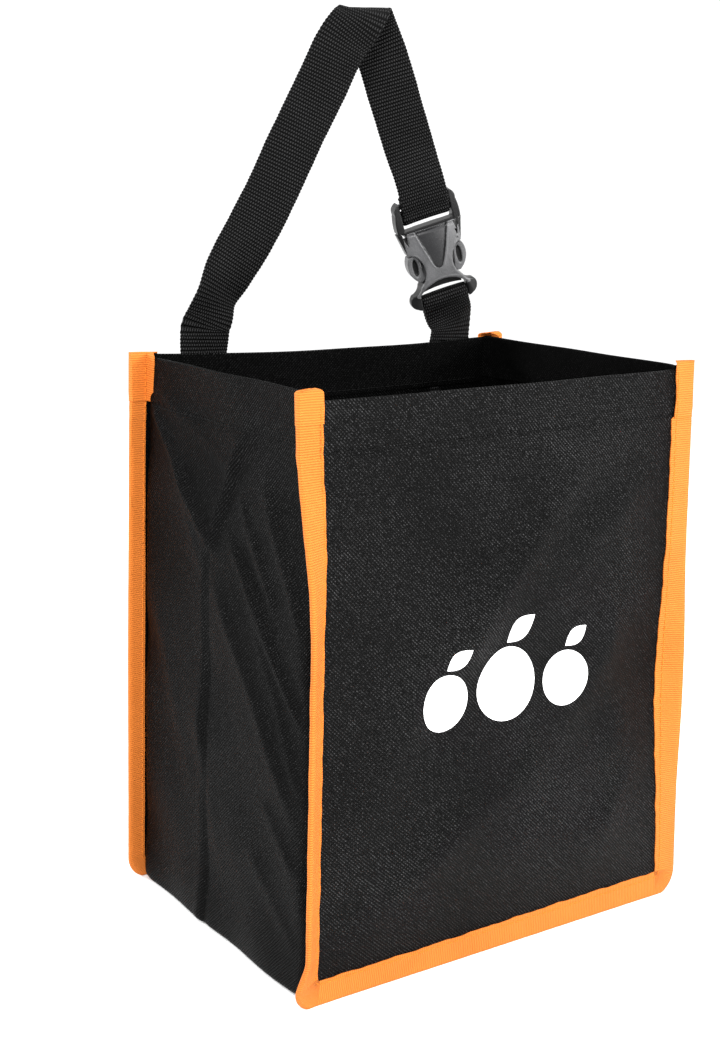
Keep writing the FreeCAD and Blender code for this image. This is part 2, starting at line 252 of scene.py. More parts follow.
def stitches(start, end, radius):
    """Short round-ended stitches between pairs of points."""
    along = unit(end - start)
    helper = np.where(np.abs(along[:, 2:3]) > 0.8, np.array([[1.0, 0, 0]]), np.array([[0, 0, 1.0]]))
    side = unit(np.cross(along, helper))
    other = np.cross(along, side)
    rings = ((0.0, 0.45), (0.09, 0.95), (0.5, 1.05), (0.91, 0.95), (1.0, 0.45))
    corners = 6
    angle = np.arange(corners) * 2.0 * math.pi / corners
    turn = side[:, None] * np.cos(angle)[None, :, None] + other[:, None] * np.sin(angle)[None, :, None]
    rows = [(start + (end - start) * share)[:, None] + turn * (radius * size) for share, size in rings]
    points = np.stack(rows, axis=1).reshape(-1, 3)
    last = (len(rings) - 1) * corners
    tube = []
    for low in range(0, last, corners):
        high = low + corners
        for c in range(corners):
            d = (c + 1) % corners
            tube.append((low + c, low + d, high + d, high + c))
    tube += [(3, 2, 1, 0), (5, 4, 3, 0)]
    tube += [(last, last + 1, last + 2, last + 3), (last, last + 3, last + 4, last + 5)]
    first_points = np.arange(len(start)) * len(rings) * corners
    faces = (np.array(tube)[None] + first_points[:, None, None]).reshape(-1, 4)
    return points, faces, points[:, [0, 2]]


def thread_piece(name, lines, size, thread, node):
    """Rows of stitches as one piece; size is (pitch, length, radius)."""
    piece = mesh_piece(name, *joined([stitch_row(line, *size) for line in lines]), thread)
    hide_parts(node)
    return piece


# ---- materials ----------------------------------------------------------
def add(tree, kind, settings=None, **inputs):
    """New shader node; inputs are values, sockets, or by position as _0."""
    node = tree.nodes.new(kind)
    for key, value in (settings or {}).items():
        setattr(node, key, value)
    for key, value in inputs.items():
        place = int(key[1:]) if key[0] == "_" else key.replace("_", " ")
        if isinstance(value, bpy.types.NodeSocket):
            tree.links.new(value, node.inputs[place])
        else:
            node.inputs[place].default_value = value
    return node


def maths(tree, operation, *values):
    inputs = {f"_{i}": v for i, v in enumerate(values)}
    return add(tree, "ShaderNodeMath", {"operation": operation}, **inputs).outputs[0]


def blank(name, roughness, specular, sheen=0.0, sheen_tint=(1, 1, 1)):
    material = bpy.data.materials.new(name)
    material.use_nodes = True
    tree = material.node_tree
    shader = tree.nodes["Principled BSDF"]
    shader.inputs["Roughness"].default_value = roughness
    shader.inputs["Specular IOR Level"].default_value = specular
    shader.inputs["Sheen Weight"].default_value = sheen
    shader.inputs["Sheen Roughness"].default_value = 0.4
    shader.inputs["Sheen Tint"].default_value = (*sheen_tint, 1.0)
    return material, tree, shader


def map_axes(tree):
    """Millimetres along and across, from the piece's own map."""
    uv = add(tree, "ShaderNodeUVMap", {"uv_map": "weave"}).outputs["UV"]
    split = add(tree, "ShaderNodeSeparateXYZ", _0=uv)
    return split.outputs["X"], split.outputs["Y"]


def wave(tree, value, pitch, power=1.0):
    """Rounded ridges, 0 to 1, once per pitch."""
    angle = maths(tree, "MULTIPLY", value, math.pi / pitch)
    ridge = maths(tree, "ABSOLUTE", maths(tree, "SINE", angle))
    return maths(tree, "POWER", ridge, power) if power != 1.0 else ridge


def noise(tree, vector, scale, detail=3.0):
    return add(tree, "ShaderNodeTexNoise", Vector=vector, Scale=scale, Detail=detail).outputs["Fac"]


def grey(level):
    return (level, level, level)


def set_colour(tree, shader, value, low, high, start=0.0, end=1.0):
    """Base colour from low to high while value goes from start to end."""
    ramp = add(tree, "ShaderNodeValToRGB", Fac=value)
    for stop, position, colour in zip(ramp.color_ramp.elements, (start, end), (low, high)):
        stop.position = position
        stop.color = (*colour, 1.0)
    tree.links.new(ramp.outputs["Color"], shader.inputs["Base Color"])


def set_bump(tree, shader, height, distance, strength=1.0):
    bumped = add(tree, "ShaderNodeBump", Height=height, Distance=distance, Strength=strength)
    tree.links.new(bumped.outputs["Normal"], shader.inputs["Normal"])


def set_roughness(tree, shader, value, low, high):
    ranged = add(tree, "ShaderNodeMapRange", Value=value, To_Min=low, To_Max=high)
    tree.links.new(ranged.outputs["Result"], shader.inputs["Roughness"])


def object_place(tree):
    return add(tree, "ShaderNodeTexCoord").outputs["Object"]


def cloth_material(name, lean, light, roughness, start, specular):
    """Coated polyester with a diagonal weave; lean is 1 or -1."""
    material, tree, shader = blank(name, 0.5, specular)
    along, across = map_axes(tree)
    place = object_place(tree)
    twill_pitch, thread_pitch = 1.7, 0.95
    slub = noise(tree, place, 1100.0, 2.0)
    wander = maths(tree, "MULTIPLY_ADD", noise(tree, place, 160.0, 2.0), 0.7, along)
    diagonal = maths(tree, "MULTIPLY_ADD", across, lean, wander)
    twill = wave(tree, diagonal, twill_pitch, 1.5)
    threads = maths(tree, "MULTIPLY", wave(tree, along, thread_pitch), wave(tree, across, thread_pitch))
    weave = maths(tree, "MULTIPLY", twill, maths(tree, "MULTIPLY_ADD", threads, 0.6, 0.55))
    cloudy = noise(tree, place, 14.0, 4.0)
    fleck = maths(tree, "MULTIPLY_ADD", slub, 1.5, maths(tree, "MULTIPLY_ADD", cloudy, 0.6, -0.55))
    tone = maths(tree, "MULTIPLY", weave, fleck)
    # Colour is lighter where the weave stands high: painted sheen on the threads' tops, broken up by
    # random flecks and cloudy tone.
    set_colour(tree, shader, tone, BLACK, light, start, 0.85)
    set_roughness(tree, shader, cloudy, *roughness)
    set_bump(tree, shader, weave, 0.0004)
    return material


def tape_material():
    """Orange grosgrain: ribs across the tape, finer threads along it."""
    material, tree, shader = blank("binding_tape", 0.62, 0.12, 0.04, (1.0, 0.75, 0.5))
    along, across = map_axes(tree)
    place = object_place(tree)
    rib_pitch, thread_pitch = 1.05, 0.55
    wander = maths(tree, "MULTIPLY_ADD", noise(tree, place, 120.0), 0.5, along)
    ribs = wave(tree, wander, rib_pitch)
    threads = wave(tree, across, thread_pitch)
    height = maths(tree, "MULTIPLY_ADD", threads, 0.25, ribs)
    cloudy = noise(tree, place, 28.0, 4.0)
    tone = maths(tree, "MULTIPLY_ADD", cloudy, 0.6, maths(tree, "MULTIPLY", height, 0.45))
    # Colour is lighter on the ribs' tops: painted light and shade of the ribs, with random cloudy tone.
    set_colour(tree, shader, tone, (0.4, 0.088, 0.0085), (0.58, 0.163, 0.024), 0.18, 0.78)
    set_roughness(tree, shader, cloudy, 0.55, 0.7)
    set_bump(tree, shader, height, 0.0003)
    return material


def thread_material(name, low, high):
    """Twisted sewing thread."""
    material, tree, shader = blank(name, 0.7, 0.08)
    place = object_place(tree)
    bands = {"bands_direction": "DIAGONAL"}
    twist = add(tree, "ShaderNodeTexWave", bands, Vector=place, Scale=900.0, Distortion=1.0).outputs["Fac"]
    set_colour(tree, shader, twist, low, high)
    set_bump(tree, shader, twist, 0.0001, 0.6)
    return material


def webbing_material():
    """Black webbing: ribs across with a row of small yarns in each."""
    material, tree, shader = blank("webbing", 0.48, 0.06)
    along, across = map_axes(tree)
    yarn_pitch, stagger = 1.25, 0.62
    ribs = wave(tree, along, WEB_PITCH, 0.8)
    rib_number = maths(tree, "FLOOR", maths(tree, "DIVIDE", along, WEB_PITCH))
    yarns = wave(tree, maths(tree, "MULTIPLY_ADD", rib_number, stagger, across), yarn_pitch, 1.4)
    height = maths(tree, "MULTIPLY", ribs, maths(tree, "MULTIPLY_ADD", yarns, 0.7, 0.3))
    cloudy = noise(tree, object_place(tree), 60.0)
    tone = maths(tree, "MULTIPLY_ADD", cloudy, 0.25, height)
    # Colour is lighter on the ribs and yarns that stand high: painted highlights of the weave, with random
    # cloudy tone.
    set_colour(tree, shader, tone, grey(0.00005), (0.02, 0.02, 0.0203), 0.72)
    set_roughness(tree, shader, cloudy, 0.42, 0.56)
    set_bump(tree, shader, height, 0.0005)
    return material


def plastic_material(name, low, high, roughness, grain, specular=0.5):
    """Moulded plastic with a fine spark-eroded grain."""
    material, tree, shader = blank(name, roughness[1], specular)
    place = object_place(tree)
    speckle = noise(tree, place, 2600.0, 2.0)
    cloudy = noise(tree, place, 90.0)
    tone = maths(tree, "MULTIPLY_ADD", speckle, 0.5, maths(tree, "MULTIPLY", cloudy, 0.5))
    set_colour(tree, shader, tone, low, high, 0.3, 0.75)
    set_roughness(tree, shader, speckle, *roughness)
    set_bump(tree, shader, speckle, grain, 0.7)
    return material


def print_material():
    """White ink that shows the weave under it."""
    material, tree, shader = blank("white_print", 0.55, 0.3)
    along, across = map_axes(tree)
    thread_pitch = 0.72
    threads = maths(tree, "MULTIPLY", wave(tree, along, thread_pitch), wave(tree, across, thread_pitch))
    worn = noise(tree, object_place(tree), 220.0, 4.0)
    tone = maths(tree, "MULTIPLY_ADD", threads, 0.3, worn)
    set_colour(tree, shader, tone, grey(0.72), grey(0.93), 0.25, 0.6)
    set_bump(tree, shader, threads, 0.00008, 0.5)
    return material


def floor_material():
    material, tree, shader = blank("studio_floor", 0.9, 0.1)
    set_colour(tree, shader, noise(tree, object_place(tree), 3.0, 2.0), grey(0.9), grey(0.93))
    return material


BLACK = grey(0.0002)
FRONT_CLOTH = cloth_material("panel_cloth", 1.0, (0.056, 0.056, 0.057), (0.36, 0.48), 0.34, 0.06)
# The gusset has the panels' cloth with its weave leaning the other way, made darker: painted shade of the
# side walls.
SIDE_CLOTH_SHADED = cloth_material("gusset_cloth", -1.0, (0.034, 0.034, 0.0345), (0.38, 0.5), 0.44, 0.03)
# Cloth of the faces inside the bag, made darker: painted shade.
INSIDE_CLOTH_SHADED = cloth_material("cloth_inside_painted_shade", 1.0, grey(0.012), (0.7, 0.8), 0.3, 0.03)
ORANGE_TAPE = tape_material()
ORANGE_THREAD = thread_material("orange_thread", (0.45, 0.11, 0.01), (0.7, 0.21, 0.03))
BLACK_THREAD = thread_material("black_thread", grey(0.0003), grey(0.005))
WHITE_PRINT = print_material()
BLACK_WEBBING = webbing_material()
PLASTIC = plastic_material(
    "buckle_plastic", (0.035, 0.035, 0.036), (0.13, 0.13, 0.134), (0.34, 0.52), 0.00012
)
# The plug's own darker plastic, also used as painted shade on the socket's feet and walls, in the latch
# hollows and on the slot's web.
PLUG_PLASTIC_AND_SHADE = plastic_material(
    "plug_plastic_and_painted_shade", grey(0.003), (0.016, 0.016, 0.0165), (0.25, 0.4), 0.00006, 0.2
)
GLOSS = plastic_material("buckle_gloss", (0.012, 0.012, 0.013), (0.03, 0.03, 0.031), (0.22, 0.3), 0.0)


# ---- bag: where the cloth lies ------------------------------------------
def flare(across, z, front):
    """Angle by which a side fin turns forward of its panel, in radians."""
    if front:
        left = 41.0 * smooth((240.0 - z) / 85.0) * (1.0 - 0.8 * smooth((26.0 - z) / 24.0))
        right = 29.0 * bump(z, 112.0, 44.0)
    else:
        left = 4.0 * bump(z, 120.0, 60.0)
        right = 14.0 * bump(z, 120.0, 60.0)
    return np.radians(np.where(across < 0, left, right))


def seam_shift(across, z, front):
    """Sideways wander of a side seam."""
    if front:
        left = 1.5 * bump(z, 200.0, 32.0) - 4.6 * np.clip(1.0 - z / 190.0, 0, 1) ** 1.3
        right = -3.4 * bump(z, 110.0, 58.0)
    else:
        left = -0.5
        right = 1.6 * bump(z, 110.0, 60.0)
    reach = smooth((np.abs(across) - 40.0) / 55.0)
    return np.where(across < 0, left, right) * reach


def cloth_top(across, front):
    """Height of a panel's top edge, which sags and leans a little."""
    share = across / (HALF_WIDTH - TAPE_WIDTH)
    if front:
        return CLOTH_TOP + 0.2 + 0.65 * share
    return CLOTH_TOP + 0.4 + 2.6 * share**2 - 0.6 * share


def ridge(u, v, start, end, width, height):
    """Long soft fold between two points of a panel."""
    start, end = np.array(start, float), np.array(end, float)
    run = end - start
    length = np.linalg.norm(run)
    along = ((u - start[0]) * run[0] + (v - start[1]) * run[1]) / length**2
    away = ((u - start[0]) * run[1] - (v - start[1]) * run[0]) / length
    ends = smooth(along / 0.25 + 0.5) * smooth((1.0 - along) / 0.25 + 0.5)
    return height * np.exp(-((away / width) ** 2)) * ends


FRONT_RIDGES = (
    ((42, 222), (-30, 140), 11.0, 1.9),
    ((24, 206), (-40, 136), 7.0, 0.6),
    ((-68, 240), (-97, 180), 9.0, 1.0),
    ((-44, 136), (-94, 58), 11.0, 1.7),
    ((90, 214), (42, 186), 9.0, 0.9),
    ((94, 80), (56, 44), 9.0, 1.0),
    ((22, 88), (-50, 48), 12.0, 1.1),
    ((70, 150), (30, 96), 12.0, 0.8),
    ((-20, 70), (-80, 26), 9.0, 0.8),
)


def panel_relief(u, v, front):
    """How far a panel's cloth stands outwards of its flat plane."""
    edge = smooth((HALF_WIDTH - FIN - np.abs(u)) / 40.0) * smooth((v - FIN) / 40.0)
    swell = 2.6 * edge * (0.6 + 0.4 * smooth((HEIGHT - v) / 120.0))
    mirror = 1.0 if front else -1.0
    folds = 1.7 * sum(ridge(u * mirror, v, *fold) for fold in FRONT_RIDGES)
    slow = 0.5 * sine(u + 0.8 * v, 71.0) + 0.35 * sine(u * 0.5 - v, 53.0, 1.3)
    row = cloth_top(u, front) - HEM_ROW
    pinch = -0.28 * bump(v, row, 1.6) + 0.16 * bump(v, row - 4.5, 2.5) + 0.12 * bump(v, row + 4.0, 2.5)
    pucker = 0.16 * sine(u, 6.7) * bump(v, row, 6.0)
    rim = 0.5 * sine(u, 96.0, 0.8) * smooth((v - 200.0) / 50.0)
    seam_pucker = 0.25 * waver(v, 2.0) * bump(np.abs(u), HALF_WIDTH - TAPE_WIDTH - 2.0, 5.0)
    return swell + folds * edge + slow * edge + pinch + pucker * edge + rim * edge + seam_pucker


def panel_point(u, v, depth, front):
    """Place of a point of a panel: u across, v up, depth inwards from the
    outer cloth face.  The side fins turn forward about the seam line."""
    u, v, depth = np.broadcast_arrays(*(np.asarray(a, float) for a in (u, v, depth)))
    beyond = np.clip(np.abs(u) - SEAM, 0.0, None)
    rest = np.clip(beyond - BEND, 0.0, None)
    angle = flare(u, v, front)
    part = angle * np.clip(beyond / BEND, 0.0, 1.0)
    turned = angle > 1e-4
    arc = np.where(turned, BEND / np.maximum(angle, 1e-4), 0.0)
    side_run = np.where(turned, arc * np.sin(part), np.minimum(beyond, BEND)) + rest * np.cos(angle)
    out_run = np.where(turned, arc * (1.0 - np.cos(part)), 0.0) + rest * np.sin(angle)
    sign = np.sign(u)
    x = sign * (np.minimum(np.abs(u), SEAM) + side_run) + seam_shift(u, v, front)
    x = x + sign * depth * np.sin(part)
    y = depth * np.cos(part) - (out_run + panel_relief(u, v, front))
    place_y = y * math.cos(SLOPE) + v * math.sin(SLOPE) + PANEL_LOW[1]
    place_z = v * math.cos(SLOPE) - y * math.sin(SLOPE)
    return np.stack([x, place_y if front else -place_y, np.maximum(place_z, LOWEST)], axis=-1)


def outline(inset, top, runs, left=LEFT_CORNER, right=RIGHT_CORNER, bottom=None):
    """U-shaped path (across, up) down the left side, along the bottom and up
    the right; runs are the points on a side, a corner and the bottom."""
    bottom = inset if bottom is None else bottom
    low = max(left - inset, 0.5)
    high = max(right - inset, 0.5)
    side = HALF_WIDTH - inset
    sides, turns, floor = runs
    down = np.linspace(top, bottom + low, sides, endpoint=False)
    a = np.linspace(math.pi, 1.5 * math.pi, turns, endpoint=False)
    level = np.linspace(-side + low, side - high, floor, endpoint=False)
    b = np.linspace(1.5 * math.pi, 2 * math.pi, turns, endpoint=False)
    up = np.linspace(bottom + high, top, sides)
    left_u, left_v = -side + low + low * np.cos(a), bottom + low + low * np.sin(a)
    right_u, right_v = side - high + high * np.cos(b), bottom + high + high * np.sin(b)
    u = np.concatenate([np.full(sides, -side), left_u, level, right_u, np.full(sides, side)])
    v = np.concatenate([down, left_v, np.full(floor, bottom), right_v, up])
    return u, v


# ---- bag: pieces --------------------------------------------------------
def shade_inside(piece):
    """Darker cloth on every face that looks into the bag: painted shade of the bag's inside."""
    mesh = piece.data
    mesh.materials.append(INSIDE_CLOTH_SHADED)
    middle = np.array([0.0, 0.0, HEIGHT * MM * 0.6])
    edge_on = 0.012                  # metres towards the middle; the cloth's edges have less
    toward = np.sum((middle - read(mesh.polygons, "center")) * read(mesh.polygons, "normal"), axis=1)
    mesh.polygons.foreach_set("material_index", (toward > edge_on).astype(np.int32))


def panel(name, front):
    """Panel cloth, folded over at the top and hemmed inside."""
    fin_start, cloth_low = 96.0, 0.7
    middle = spread(1.5 - fin_start, fin_start - 1.5, 1.5)
    left, right = spread(-HALF_CLOTH, -fin_start, 1.0), spread(fin_start, HALF_CLOTH, 1.0)
    columns = np.concatenate([left, middle, right])
    low = np.full_like(columns, cloth_low)
    for sign, radius in ((-1, LEFT_CORNER), (1, RIGHT_CORNER)):
        past = np.clip(sign * columns - (HALF_WIDTH - radius), 0.0, radius)
        low = np.maximum(low, radius - np.sqrt(np.maximum(radius**2 - past**2, 0.0)) + cloth_low)
    top = cloth_top(columns, front)
    # Rows as shares of the height, closer together at the hem's stitches.
    stretches = ((0.0, 0.885, 0.0062), (0.889, 0.945, 0.0028), (0.95, 0.995, 0.0052))
    hem_start = 0.985
    r = LAYER / 2.0
    rows = []
    for share in np.concatenate([spread(*stretch) for stretch in stretches]):
        rows.append((low + (top - low) * share, 0.0 * columns))
    for angle in np.linspace(0.0, math.pi, 7):
        rows.append((top - r + r * math.sin(angle), r * (1.0 - math.cos(angle)) + 0.0 * columns))
    for share in spread(hem_start, 1.0 - HEM / CLOTH_TOP, 0.0056):
        ripple = 0.1 * np.sin(columns / 9.0) * smooth((hem_start - share) / 0.02)
        rows.append((top * share, 2.0 * r + ripple))
    v, depth = np.array(rows).transpose(1, 0, 2)
    grid = panel_point(columns[None, :], v, depth + CLOTH / 2.0, front)
    uv = grid_map(columns, run_along(grid[:, 60]))
    piece = mesh_piece(name, *shell(grid, CLOTH, uv), FRONT_CLOTH)
    shade_inside(piece)
    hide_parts("front_panel" if front else "back_panel")
    return piece


GUSSET_WRINKLES = (
    ((62, 240), (10, 188), 3.0, 2.0),
    ((54, 247), (-10, 222), 4.0, 1.2),
    ((12, 186), (-14, 236), 2.8, 1.7),
    ((10, 189), (-30, 240), 5.0, -1.0),
    ((-8, 192), (-66, 128), 3.0, 2.1),
    ((-26, 200), (-44, 170), 2.6, 1.5),
    ((-36, 218), (-66, 166), 3.4, 1.5),
    ((-16, 214), (-34, 178), 2.6, 1.1),
    ((4, 170), (-62, 88), 4.5, 1.4),
    ((-20, 176), (-66, 100), 3.2, 1.0),
    ((-38, 86), (-66, 64), 4.0, 1.2),
    ((40, 226), (20, 178), 4.0, 1.0),
    ((58, 150), (26, 70), 7.0, 1.1),
    ((-30, 60), (-66, 30), 5.0, 0.9),
    ((20, 110), (-4, 40), 5.0, 0.7),
)
SIDE_SWELL = 4.0                 # side walls stand past the seam line
BOTTOM_SWELL = 8.8               # the bottom hangs to just above the floor


def wall_relief(y, z):
    """How far the gusset's cloth stands out of its smooth surface."""
    folds = sum(ridge(y, z, *wrinkle) for wrinkle in GUSSET_WRINKLES)
    crease = (0.5 * bump(y, 17.0, 3.5) - 0.9 * bump(y, 11.0, 2.2)) * smooth((205.0 - z) / 30.0)
    slow = 0.6 * sine(y - 0.7 * z, 63.0, 0.6) + 0.4 * sine(z, 47.0)
    pinch = -0.3 * bump(z, SIDE_ROW, 1.5) + 0.14 * sine(y, 6.3) * bump(z, SIDE_ROW, 6.0)
    return folds + crease + slow + pinch


def gusset():
    """One strip round the left side, the bottom and the right side."""
    runs, top, corner = (170, 10, 130), CLOTH_TOP + 2.4, FIN + 2.5
    u, v = outline(FIN, top, runs, corner, corner)
    wide_u, wide_v = outline(FIN - SIDE_SWELL, top, runs, 9.0, 9.0, FIN - BOTTOM_SWELL)
    outer_u, outer_v = outline(0.9, top, runs)
    depth = LAYER + CLOTH / 2.0

    def fin(share, front):
        return panel_point(outer_u + (u - outer_u) * share, outer_v + (v - outer_v) * share, depth, front)

    fins = spread(0.4, 8.6, 1.35) / FIN
    seam_front, seam_back = (panel_point(u, v, depth + 0.3, front) for front in (True, False))
    wall_columns = 78
    eased = 0.5 - 0.5 * np.cos(np.linspace(0.0, math.pi, wall_columns))
    ease = 0.45 + 0.55 * smooth((CLOTH_TOP - v) / 60.0)
    side = np.abs(u) > HALF_WIDTH - FIN - 0.5
    outwards = np.where(u < 0, -1.0, 1.0) * side
    walls = []
    for share in 0.5 * eased + 0.5 * np.linspace(0, 1, wall_columns):
        x, y, z = (seam_front * (1 - share) + seam_back * share).T
        swell = 1.0 - abs(2.0 * share - 1.0) ** 30
        sag = 0.7 * np.sin(x / 17.0) * np.sin(y / 21.0) * swell
        x = x + (wide_u - u) * (swell * ease) + outwards * (wall_relief(y, z) * swell)
        z = z + (wide_v - v) * (swell * ease) + np.where(side, 0.0, np.maximum(sag, -0.3) + 0.3)
        walls.append(np.stack([x, y, z], axis=1))
    front_fins = [fin(share, True) for share in fins]
    back_fins = [fin(share, False) for share in fins[::-1]]
    grid = np.stack(front_fins + walls + back_fins, axis=1)
    grid[..., 2] = np.maximum(grid[..., 2], 0.6)
    grid = gusset_hem(grid)
    length = run_along(grid[:, 40])
    width = run_along(grid[100])
    piece = mesh_piece("gusset_cloth", *shell(grid, CLOTH, grid_map(width, length)), SIDE_CLOTH_SHADED)
    shade_inside(piece)
    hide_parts("gusset_strip")
    return piece


def gusset_hem(grid):
    """Adds the fold and the hem inside both ends of the strip."""
    inside = normals(grid)
    middle = np.array([0.0, 0.0, HEIGHT / 2.0])
    inside = inside * np.sign(np.sum(inside[0, 40] * (middle - grid[0, 40])))
    r = LAYER / 2.0
    turn = np.linspace(0.5, math.pi, 5)
    ends = []
    for rows in (slice(0, None), slice(None, None, -1)):
        strip, inner = grid[rows], inside[rows]
        rise = unit(strip[0] - strip[2])
        fold = [strip[0] + inner[0] * (r - r * math.cos(a)) + rise * (r * math.sin(a)) for a in turn]
        down = [strip[k] + inner[k] * (2 * r) for k in range(1, 15)]
        ends.append(np.array(fold + down))
    return np.concatenate([ends[0][::-1], grid, ends[1]], axis=0)


def binding_section(wrap):
    """Across the tape: (inset as a share of its width, place through the
    stack, millimetres past the stack where it laps onto the side wall)."""
    turn = np.linspace(0.5, math.pi - 0.5, 5)
    face = [(s, 0.0, 0.0) for s in np.linspace(1.0, 0.1, 11)]
    bend = [(-0.02 - 0.055 * math.sin(a), 0.5 - 0.5 * math.cos(a), 0.0) for a in turn]
    rear = [(s, 1.0, 0.0) for s in np.linspace(0.1, 0.48 if wrap else 0.66, 8)]
    lap = [(0.5, 1.0, wrap * t) for t in (0.2, 0.5, 0.8, 1.0)] if wrap else []
    return face + bend + rear + lap


def tape_edges(top):
    """Paths of the tape's fold and of its free edge: (u, v, u, v)."""
    return (*outline(0.0, top, TAPE_RUNS), *outline(TAPE_WIDTH, top, TAPE_RUNS))


def seam_stack(v):
    """Thickness of the cloth that the tape folds round, more at the hem."""
    return 1.5 + 0.8 * smooth((v - (CLOTH_TOP - HEM - 6.0)) / 5.0)


def tape_strip(front, start, end, outside, widths, seed, close_top=False, wrap=0.0):
    """Folded tape between two lengths along the U path; widths gives the
    width of its outer face at each place."""
    u0, v0, u1, v1 = tape_edges(TAPE_TOP)
    length = run_along(np.stack([u0, v0], axis=1))
    pick = (length >= start - 1e-6) & (length <= end + 1e-6)
    u0, v0, u1, v1, s = (values[pick] for values in (u0, v0, u1, v1, length))
    width = widths(u0, v0)
    near = -(TAPE / 2.0 + 0.08 + outside) + 0.06 * waver(s * 1.9, seed + 3)
    far = seam_stack(v0) + 0.15 * waver(s, seed) + TAPE / 2.0 + outside
    columns, across = [], []
    for inset, through_stack, past in binding_section(wrap):
        reach = inset * width
        if through_stack == 0.0:
            reach = reach + inset**4 * 0.35 * waver(s * 1.3, seed + 1)
        share = reach / TAPE_WIDTH
        depth = near + (far - near) * through_stack + past
        columns.append(panel_point(u0 + (u1 - u0) * share, v0 + (v1 - v0) * share, depth, front))
        across.append(TAPE_WIDTH * (inset if through_stack < 0.5 else -inset))
    grid = np.stack(columns, axis=1)
    if close_top:
        grid = close_end(grid, start > 0.0)
    run = run_along(grid[:, 12]) + start
    return shell(grid, TAPE, grid_map(np.array(across), run)[..., ::-1])


def close_end(grid, at_last):
    """Draws the top of a turned tape end together, like a folded hem."""
    strip = grid[::-1] if at_last else grid
    middle = (strip[0, :12].mean(0) + strip[0, -8:].mean(0)) / 2.0
    facing = unit(strip[0, 3] - strip[0, -3])
    rings = []
    for share in (0.25, 0.55, 0.8, 0.97):
        ring = strip[0].copy()
        gap = (ring - middle) @ facing
        ring = ring - np.outer(gap * (1.0 - math.sqrt(1.0 - share**2)), facing)
        ring[:, 2] += 1.6 * share
        rings.append(ring)
    strip = np.concatenate([np.array(rings[::-1]), strip])
    return strip[::-1] if at_last else strip


def binding(name, front, node):
    """Tape folded over a panel's seam, its ends turned back at the top."""
    total = run_along(np.stack(outline(0.0, TAPE_TOP, TAPE_RUNS), axis=1))[-1]

    def width(u, v):
        upper = smooth((v - (HEIGHT - TAPE_END)) / 1.5)
        left = (10.6 if front else 10.4) + 0.6 * smooth((200.0 - v) / 60.0)
        right = 12.4 - 2.2 * upper + (1.6 * bump(v, 110.0, 40.0) if front else 0.0)
        return left + (right - left) * smooth((u + 70.0) / 140.0)

    def end_width(u, v):
        left, right = (10.9, 10.8) if front else (14.3, 13.0)
        return np.where(u < 0, left, right) + 0.25 * np.sin(v / 3.1)

    seed, left_end, lap = (1.0, 13.0, 0.0) if front else (5.0, 22.0, 6.5)
    over = TAPE + 0.02
    parts = [
        tape_strip(front, 1.5, total - 1.5, 0.0, width, seed),
        tape_strip(front, 0.0, left_end, over, end_width, seed + 7, True, lap),
        tape_strip(front, total - TAPE_END, total, over, end_width, seed + 9, True, lap),
    ]
    piece = mesh_piece(name, *joined(parts), ORANGE_TAPE)
    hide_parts(node)
    return piece


def binding_stitching(name, front, node):
    """Stitches along both faces of the tape, near its free edges."""
    u0, v0, u1, v1 = tape_edges(CLOTH_TOP)
    in_end = smooth(v0 - (HEIGHT - TAPE_END - 1.0))
    outside = TAPE + 0.12 + in_end * (TAPE + 0.08)
    lines = []
    for inset, depth in ((TAPE_WIDTH - 2.4, -outside), (FIN - 4.0, seam_stack(v0) + outside - 0.1)):
        share = inset / TAPE_WIDTH
        lines.append(panel_point(u0 + (u1 - u0) * share, v0 + (v1 - v0) * share, depth, front))
    return thread_piece(name, lines, (3.3, 2.5, 0.27), ORANGE_THREAD, node)


def stitch_row(line, pitch, length, radius):
    """Stitches at an even pitch along a line of points."""
    run = np.concatenate([[0.0], np.cumsum(np.linalg.norm(np.diff(line, axis=0), axis=1))])
    starts = np.arange(pitch * 0.5, run[-1] - length, pitch)

    def at(s):
        return np.stack([np.interp(s, run, line[:, k]) for k in range(3)], axis=1)

    return stitches(at(starts), at(starts + length), radius)


def hem_stitching(name, front, node):
    """Stitches along the hem, on both faces of a panel."""
    end = HALF_WIDTH - TAPE_WIDTH - 1.0
    u = spread(-end, end, 1.0)
    row = cloth_top(u, front) - HEM_ROW
    lines = [panel_point(u, row, depth, front) for depth in (-0.1, LAYER + CLOTH + 0.15)]
    return thread_piece(name, lines, HEM_STITCH, BLACK_THREAD, node)


def side_hem_stitching(name, side, cloth, node):
    """Stitches on the gusset's outer face, laid on the finished cloth."""
    clear = 160.0                    # well outside the bag, where each ray starts
    line = []
    for y in spread(-64.0, 64.0, 1.0):
        start = Vector((side * clear, y, SIDE_ROW)) * MM
        hit, place, normal, _ = cloth.ray_cast(start, Vector((-side, 0, 0)))
        if hit:
            line.append(np.array(place) / MM + np.array(normal) * 0.08)
    return thread_piece(name, [np.array(line)], HEM_STITCH, BLACK_THREAD, node)


# ---- print --------------------------------------------------------------
def disc(centre, radius):
    """Disc as a grid of points: (across, up)."""
    r = np.linspace(0.02, 1.0, 9)[:, None] * radius
    a = np.linspace(0.0, 2.0 * math.pi, 41)[None, :]
    return centre[0] + r * np.cos(a), centre[1] + r * np.sin(a)


def leaf_shape(root, tip, fullness):
    """Pointed leaf between two points, as a grid of points: (across, up)."""
    t = np.linspace(0.0, 1.0, 18)[None, :]
    w = np.linspace(-1.0, 1.0, 9)[:, None]
    run = np.array(tip) - np.array(root)
    belly = fullness * np.sin(math.pi * t) * w
    return root[0] + run[0] * t - run[1] * belly, root[1] + run[1] * t + run[0] * belly


